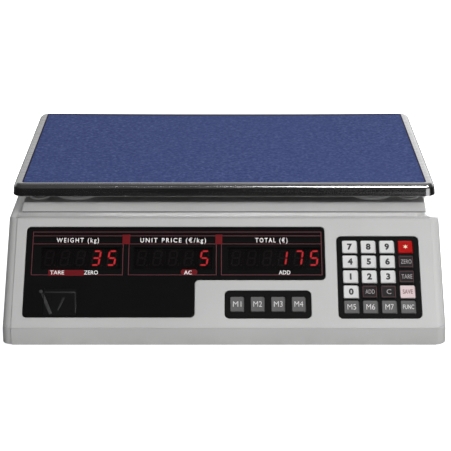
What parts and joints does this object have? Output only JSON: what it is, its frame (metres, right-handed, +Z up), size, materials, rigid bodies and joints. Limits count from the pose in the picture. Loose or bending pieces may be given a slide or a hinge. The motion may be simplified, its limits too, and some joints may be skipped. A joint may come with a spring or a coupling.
{
  "type": "price computing scale",
  "caption": "Price computing counter scale: sloped front panel with LED read-outs and keypads, and a lift-off stainless pan with protective film on a load cell.",
  "frame": {"origin": "middle of the housing's footprint, on the surface the feet stand on", "axes": "+Z up; -Y towards the operator, who faces the sloped front panel; +X to the operator's right"},
  "size_m": [0.35, 0.325, 0.1126],
  "materials": {
    "housing_abs": "fine-textured light grey moulding",
    "stainless": "brushed stainless sheet",
    "film_blue": "matt blue protective film",
    "window_black": "glossy dark printed lens",
    "led_module": "black-faced LED digit modules",
    "circuit_board": "green solder mask",
    "bezel_black": "fine-textured black",
    "key_white": "white keycap",
    "key_black": "black keycap",
    "key_grey": "grey keycap",
    "key_red": "red keycap",
    "key_pink": "pale pink keycap",
    "cast_aluminium": "as cast",
    "cell_aluminium": "machined",
    "zinc_steel": "zinc plated",
    "pad_rubber": "soft rubber",
    "foot_rubber": "ribbed rubber",
    "foot_black": "black plastic wheel on a steel stud",
    "transformer_iron": "varnished laminations and taped coil",
    "battery_case": "dark grey battery case",
    "inlet_black": "black moulding",
    "rocker_red": "red gloss rocker",
    "level_fluid": "clear vial with yellow-green fluid"
  },
  "bodies": {
    "housing": {"upper_housing": "housing_abs", "lower_housing": "housing_abs", "base_frame": "cast_aluminium", "housing_screws": "zinc_steel", "frame_screws": "zinc_steel", "load_cell": "cell_aluminium", "overload_stops": "zinc_steel", "display_window": "window_black", "front_digits": "led_module", "display_board": "circuit_board", "keypad_bezel": "bezel_black", "memory_bezel": "bezel_black", "key_boards": "circuit_board", "rear_window": "window_black", "rear_digits": "led_module", "rear_board": "circuit_board", "main_board": "circuit_board", "transformer": "transformer_iron", "battery": "battery_case", "power_inlet": "inlet_black", "bubble_level": "level_fluid"},
    "platform": {"pan_spider": "cast_aluminium", "spider_screws": "zinc_steel", "pan_pads": "pad_rubber"},
    "pan": {"weighing_pan": "stainless", "pan_film": "film_blue"},
    "battery_cover": {"battery_cover": "housing_abs"},
    "rocker": {"power_rocker": "rocker_red"},
    "pad_front_left": {"foot_pad_front_left": "foot_rubber"},
    "stud_front_left": {"foot_stud_front_left": "foot_black"},
    "pad_front_right": {"foot_pad_front_right": "foot_rubber"},
    "stud_front_right": {"foot_stud_front_right": "foot_black"},
    "pad_rear_left": {"foot_pad_rear_left": "foot_rubber"},
    "stud_rear_left": {"foot_stud_rear_left": "foot_black"},
    "pad_rear_right": {"foot_pad_rear_right": "foot_rubber"},
    "stud_rear_right": {"foot_stud_rear_right": "foot_black"},
    "digit_key_0": {"digit_key_0": "key_white"},
    "digit_key_1": {"digit_key_1": "key_white"},
    "digit_key_2": {"digit_key_2": "key_white"},
    "digit_key_3": {"digit_key_3": "key_white"},
    "digit_key_4": {"digit_key_4": "key_white"},
    "digit_key_5": {"digit_key_5": "key_white"},
    "digit_key_6": {"digit_key_6": "key_white"},
    "digit_key_7": {"digit_key_7": "key_white"},
    "digit_key_8": {"digit_key_8": "key_white"},
    "digit_key_9": {"digit_key_9": "key_white"},
    "star_key": {"star_key": "key_red"},
    "zero_key": {"zero_key": "key_black"},
    "tare_key": {"tare_key": "key_black"},
    "add_key": {"add_key": "key_black"},
    "clear_key": {"clear_key": "key_black"},
    "save_key": {"save_key": "key_pink"},
    "func_key": {"func_key": "key_grey"},
    "memory_key_1": {"memory_key_1": "key_grey"},
    "memory_key_2": {"memory_key_2": "key_grey"},
    "memory_key_3": {"memory_key_3": "key_grey"},
    "memory_key_4": {"memory_key_4": "key_grey"},
    "memory_key_5": {"memory_key_5": "key_grey"},
    "memory_key_6": {"memory_key_6": "key_grey"},
    "memory_key_7": {"memory_key_7": "key_grey"}
  },
  "joints": [
    {"name": "platform_deflection", "type": "slide", "parent": "housing", "child": "platform", "axis": [0, 0, -1], "range_m": [0, 0.0005], "stiffness_N_per_m": 30000, "springref_m": -0.001, "deforming": ["load_cell"]},
    {"name": "pan_lift_off", "type": "slide", "parent": "platform", "child": "pan", "axis": [0, 0, 1], "range_m": [0, 0.06]},
    {"name": "battery_cover_pull", "type": "slide", "parent": "housing", "child": "battery_cover", "axis": [0, 0, -1], "range_m": [0, 0.02]},
    {"name": "power_switch", "type": "hinge", "parent": "housing", "child": "rocker", "pos_m": [0.1672, 0.11, 0.047], "axis": [0, 1, 0], "range_deg": [0, 18]},
    {"name": "foot_rise_front_left", "type": "slide", "parent": "housing", "child": "pad_front_left", "axis": [0, 0, -1], "range_m": [0, 0.006]},
    {"name": "foot_turn_front_left", "type": "hinge", "parent": "pad_front_left", "child": "stud_front_left", "pos_m": [-0.145, -0.132, 0.008], "axis": [0, 0, -1], "range_deg": [0, 2160.1]},
    {"name": "foot_rise_front_right", "type": "slide", "parent": "housing", "child": "pad_front_right", "axis": [0, 0, -1], "range_m": [0, 0.006]},
    {"name": "foot_turn_front_right", "type": "hinge", "parent": "pad_front_right", "child": "stud_front_right", "pos_m": [0.145, -0.132, 0.008], "axis": [0, 0, -1], "range_deg": [0, 2160.1]},
    {"name": "foot_rise_rear_left", "type": "slide", "parent": "housing", "child": "pad_rear_left", "axis": [0, 0, -1], "range_m": [0, 0.006]},
    {"name": "foot_turn_rear_left", "type": "hinge", "parent": "pad_rear_left", "child": "stud_rear_left", "pos_m": [-0.145, 0.132, 0.008], "axis": [0, 0, -1], "range_deg": [0, 2160.1]},
    {"name": "foot_rise_rear_right", "type": "slide", "parent": "housing", "child": "pad_rear_right", "axis": [0, 0, -1], "range_m": [0, 0.006]},
    {"name": "foot_turn_rear_right", "type": "hinge", "parent": "pad_rear_right", "child": "stud_rear_right", "pos_m": [0.145, 0.132, 0.008], "axis": [0, 0, -1], "range_deg": [0, 2160.1]},
    {"name": "digit_key_0_press", "type": "slide", "parent": "housing", "child": "digit_key_0", "axis": [0, 0.6947, -0.7193], "range_m": [0, 0.0006], "stiffness_N_per_m": 900, "springref_m": -0.0006},
    {"name": "digit_key_1_press", "type": "slide", "parent": "housing", "child": "digit_key_1", "axis": [0, 0.6947, -0.7193], "range_m": [0, 0.0006], "stiffness_N_per_m": 900, "springref_m": -0.0006},
    {"name": "digit_key_2_press", "type": "slide", "parent": "housing", "child": "digit_key_2", "axis": [0, 0.6947, -0.7193], "range_m": [0, 0.0006], "stiffness_N_per_m": 900, "springref_m": -0.0006},
    {"name": "digit_key_3_press", "type": "slide", "parent": "housing", "child": "digit_key_3", "axis": [0, 0.6947, -0.7193], "range_m": [0, 0.0006], "stiffness_N_per_m": 900, "springref_m": -0.0006},
    {"name": "digit_key_4_press", "type": "slide", "parent": "housing", "child": "digit_key_4", "axis": [0, 0.6947, -0.7193], "range_m": [0, 0.0006], "stiffness_N_per_m": 900, "springref_m": -0.0006},
    {"name": "digit_key_5_press", "type": "slide", "parent": "housing", "child": "digit_key_5", "axis": [0, 0.6947, -0.7193], "range_m": [0, 0.0006], "stiffness_N_per_m": 900, "springref_m": -0.0006},
    {"name": "digit_key_6_press", "type": "slide", "parent": "housing", "child": "digit_key_6", "axis": [0, 0.6947, -0.7193], "range_m": [0, 0.0006], "stiffness_N_per_m": 900, "springref_m": -0.0006},
    {"name": "digit_key_7_press", "type": "slide", "parent": "housing", "child": "digit_key_7", "axis": [0, 0.6947, -0.7193], "range_m": [0, 0.0006], "stiffness_N_per_m": 900, "springref_m": -0.0006},
    {"name": "digit_key_8_press", "type": "slide", "parent": "housing", "child": "digit_key_8", "axis": [0, 0.6947, -0.7193], "range_m": [0, 0.0006], "stiffness_N_per_m": 900, "springref_m": -0.0006},
    {"name": "digit_key_9_press", "type": "slide", "parent": "housing", "child": "digit_key_9", "axis": [0, 0.6947, -0.7193], "range_m": [0, 0.0006], "stiffness_N_per_m": 900, "springref_m": -0.0006},
    {"name": "star_key_press", "type": "slide", "parent": "housing", "child": "star_key", "axis": [0, 0.6947, -0.7193], "range_m": [0, 0.0006], "stiffness_N_per_m": 900, "springref_m": -0.0006},
    {"name": "zero_key_press", "type": "slide", "parent": "housing", "child": "zero_key", "axis": [0, 0.6947, -0.7193], "range_m": [0, 0.0006], "stiffness_N_per_m": 900, "springref_m": -0.0006},
    {"name": "tare_key_press", "type": "slide", "parent": "housing", "child": "tare_key", "axis": [0, 0.6947, -0.7193], "range_m": [0, 0.0006], "stiffness_N_per_m": 900, "springref_m": -0.0006},
    {"name": "add_key_press", "type": "slide", "parent": "housing", "child": "add_key", "axis": [0, 0.6947, -0.7193], "range_m": [0, 0.0006], "stiffness_N_per_m": 900, "springref_m": -0.0006},
    {"name": "clear_key_press", "type": "slide", "parent": "housing", "child": "clear_key", "axis": [0, 0.6947, -0.7193], "range_m": [0, 0.0006], "stiffness_N_per_m": 900, "springref_m": -0.0006},
    {"name": "save_key_press", "type": "slide", "parent": "housing", "child": "save_key", "axis": [0, 0.6947, -0.7193], "range_m": [0, 0.0006], "stiffness_N_per_m": 900, "springref_m": -0.0006},
    {"name": "func_key_press", "type": "slide", "parent": "housing", "child": "func_key", "axis": [0, 0.6947, -0.7193], "range_m": [0, 0.0006], "stiffness_N_per_m": 900, "springref_m": -0.0006},
    {"name": "memory_key_1_press", "type": "slide", "parent": "housing", "child": "memory_key_1", "axis": [0, 0.6947, -0.7193], "range_m": [0, 0.0006], "stiffness_N_per_m": 900, "springref_m": -0.0006},
    {"name": "memory_key_2_press", "type": "slide", "parent": "housing", "child": "memory_key_2", "axis": [0, 0.6947, -0.7193], "range_m": [0, 0.0006], "stiffness_N_per_m": 900, "springref_m": -0.0006},
    {"name": "memory_key_3_press", "type": "slide", "parent": "housing", "child": "memory_key_3", "axis": [0, 0.6947, -0.7193], "range_m": [0, 0.0006], "stiffness_N_per_m": 900, "springref_m": -0.0006},
    {"name": "memory_key_4_press", "type": "slide", "parent": "housing", "child": "memory_key_4", "axis": [0, 0.6947, -0.7193], "range_m": [0, 0.0006], "stiffness_N_per_m": 900, "springref_m": -0.0006},
    {"name": "memory_key_5_press", "type": "slide", "parent": "housing", "child": "memory_key_5", "axis": [0, 0.6947, -0.7193], "range_m": [0, 0.0006], "stiffness_N_per_m": 900, "springref_m": -0.0006},
    {"name": "memory_key_6_press", "type": "slide", "parent": "housing", "child": "memory_key_6", "axis": [0, 0.6947, -0.7193], "range_m": [0, 0.0006], "stiffness_N_per_m": 900, "springref_m": -0.0006},
    {"name": "memory_key_7_press", "type": "slide", "parent": "housing", "child": "memory_key_7", "axis": [0, 0.6947, -0.7193], "range_m": [0, 0.0006], "stiffness_N_per_m": 900, "springref_m": -0.0006}
  ],
  "couplings": [
    {"joint": "foot_turn_front_left", "follows": "foot_rise_front_left", "rad_per_m": 6283.2},
    {"joint": "foot_turn_front_right", "follows": "foot_rise_front_right", "rad_per_m": 6283.2},
    {"joint": "foot_turn_rear_left", "follows": "foot_rise_rear_left", "rad_per_m": 6283.2},
    {"joint": "foot_turn_rear_right", "follows": "foot_rise_rear_right", "rad_per_m": 6283.2}
  ]
}
